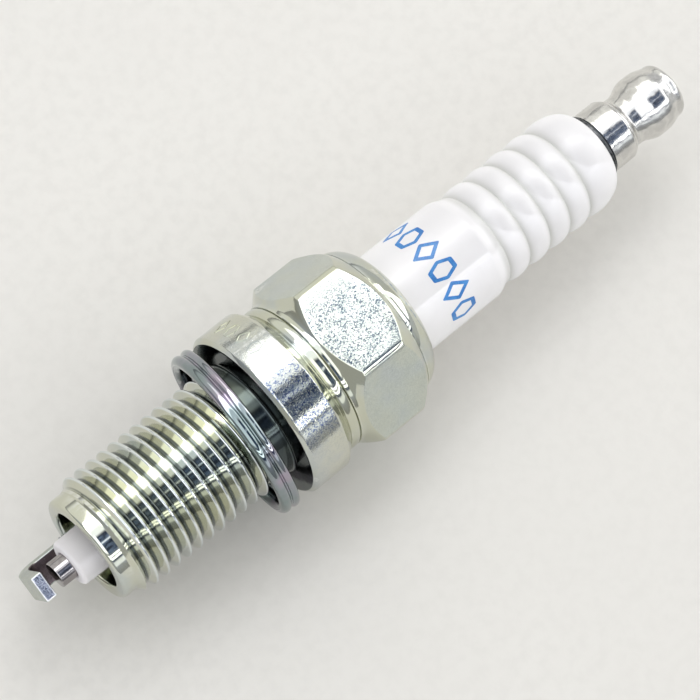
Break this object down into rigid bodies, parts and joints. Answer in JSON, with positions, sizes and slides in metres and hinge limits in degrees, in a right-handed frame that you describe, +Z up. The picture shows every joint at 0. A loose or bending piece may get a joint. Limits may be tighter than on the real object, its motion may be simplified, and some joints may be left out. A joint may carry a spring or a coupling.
{
  "type": "spark plug",
  "caption": "Threaded spark plug with crimped hex shell, ribbed ceramic insulator, snap terminal and loose crush gasket; seals in a cylinder head and makes the ignition spark.",
  "frame": {"origin": "below the middle of the plug's length, on the surface that it lies on", "axes": "+X along the plug's axis towards the terminal, +Z up with one hexagon flat facing up, +Y to the side"},
  "size_m": [0.0754, 0.018, 0.0169],
  "materials": {
    "zinc_plated_steel": "bright zinc plate, satin stamped faces and turned thread",
    "strap_nickel": "nickel alloy strap with thin plating and a sheared end",
    "glazed_alumina": "white glaze on the outside, matt unglazed nose",
    "electrode_nickel": "dark drawn nickel alloy",
    "copper": "copper",
    "conductive_glass": "dark fused glass and metal powder",
    "resistor_body": "black carbon composition",
    "stud_steel": "plated steel, rolled thread",
    "terminal_nickel": "polished nickel plate",
    "gasket_zinc": "bright zinc plated folded steel",
    "packing_steel": "plain soft steel",
    "talc": "packed talc powder"
  },
  "bodies": {
    "plug": {"metal_shell": "zinc_plated_steel", "ground_electrode": "strap_nickel", "insulator": "glazed_alumina", "center_electrode": "electrode_nickel", "copper_core": "copper", "lower_glass_seal": "conductive_glass", "resistor": "resistor_body", "upper_glass_seal": "conductive_glass", "terminal_stud": "stud_steel", "lower_packing_washer": "packing_steel", "lower_packing_ring": "packing_steel", "talc_ring": "talc", "upper_packing_ring": "packing_steel"},
    "crush_gasket": {"gasket": "gasket_zinc"},
    "snap_terminal": {"terminal_nut": "terminal_nickel"}
  },
  "joints": [
    {"name": "gasket_rock", "type": "hinge", "parent": "plug", "child": "crush_gasket", "pos_m": [-0.01326, 0.00373, 0.00112], "axis": [0, 0.891, 0.454], "range_deg": [0, 7.4]},
    {"name": "terminal_unscrew", "type": "slide", "parent": "plug", "child": "snap_terminal", "axis": [1, 0, 0], "range_m": [0, 0.009]}
  ]
}
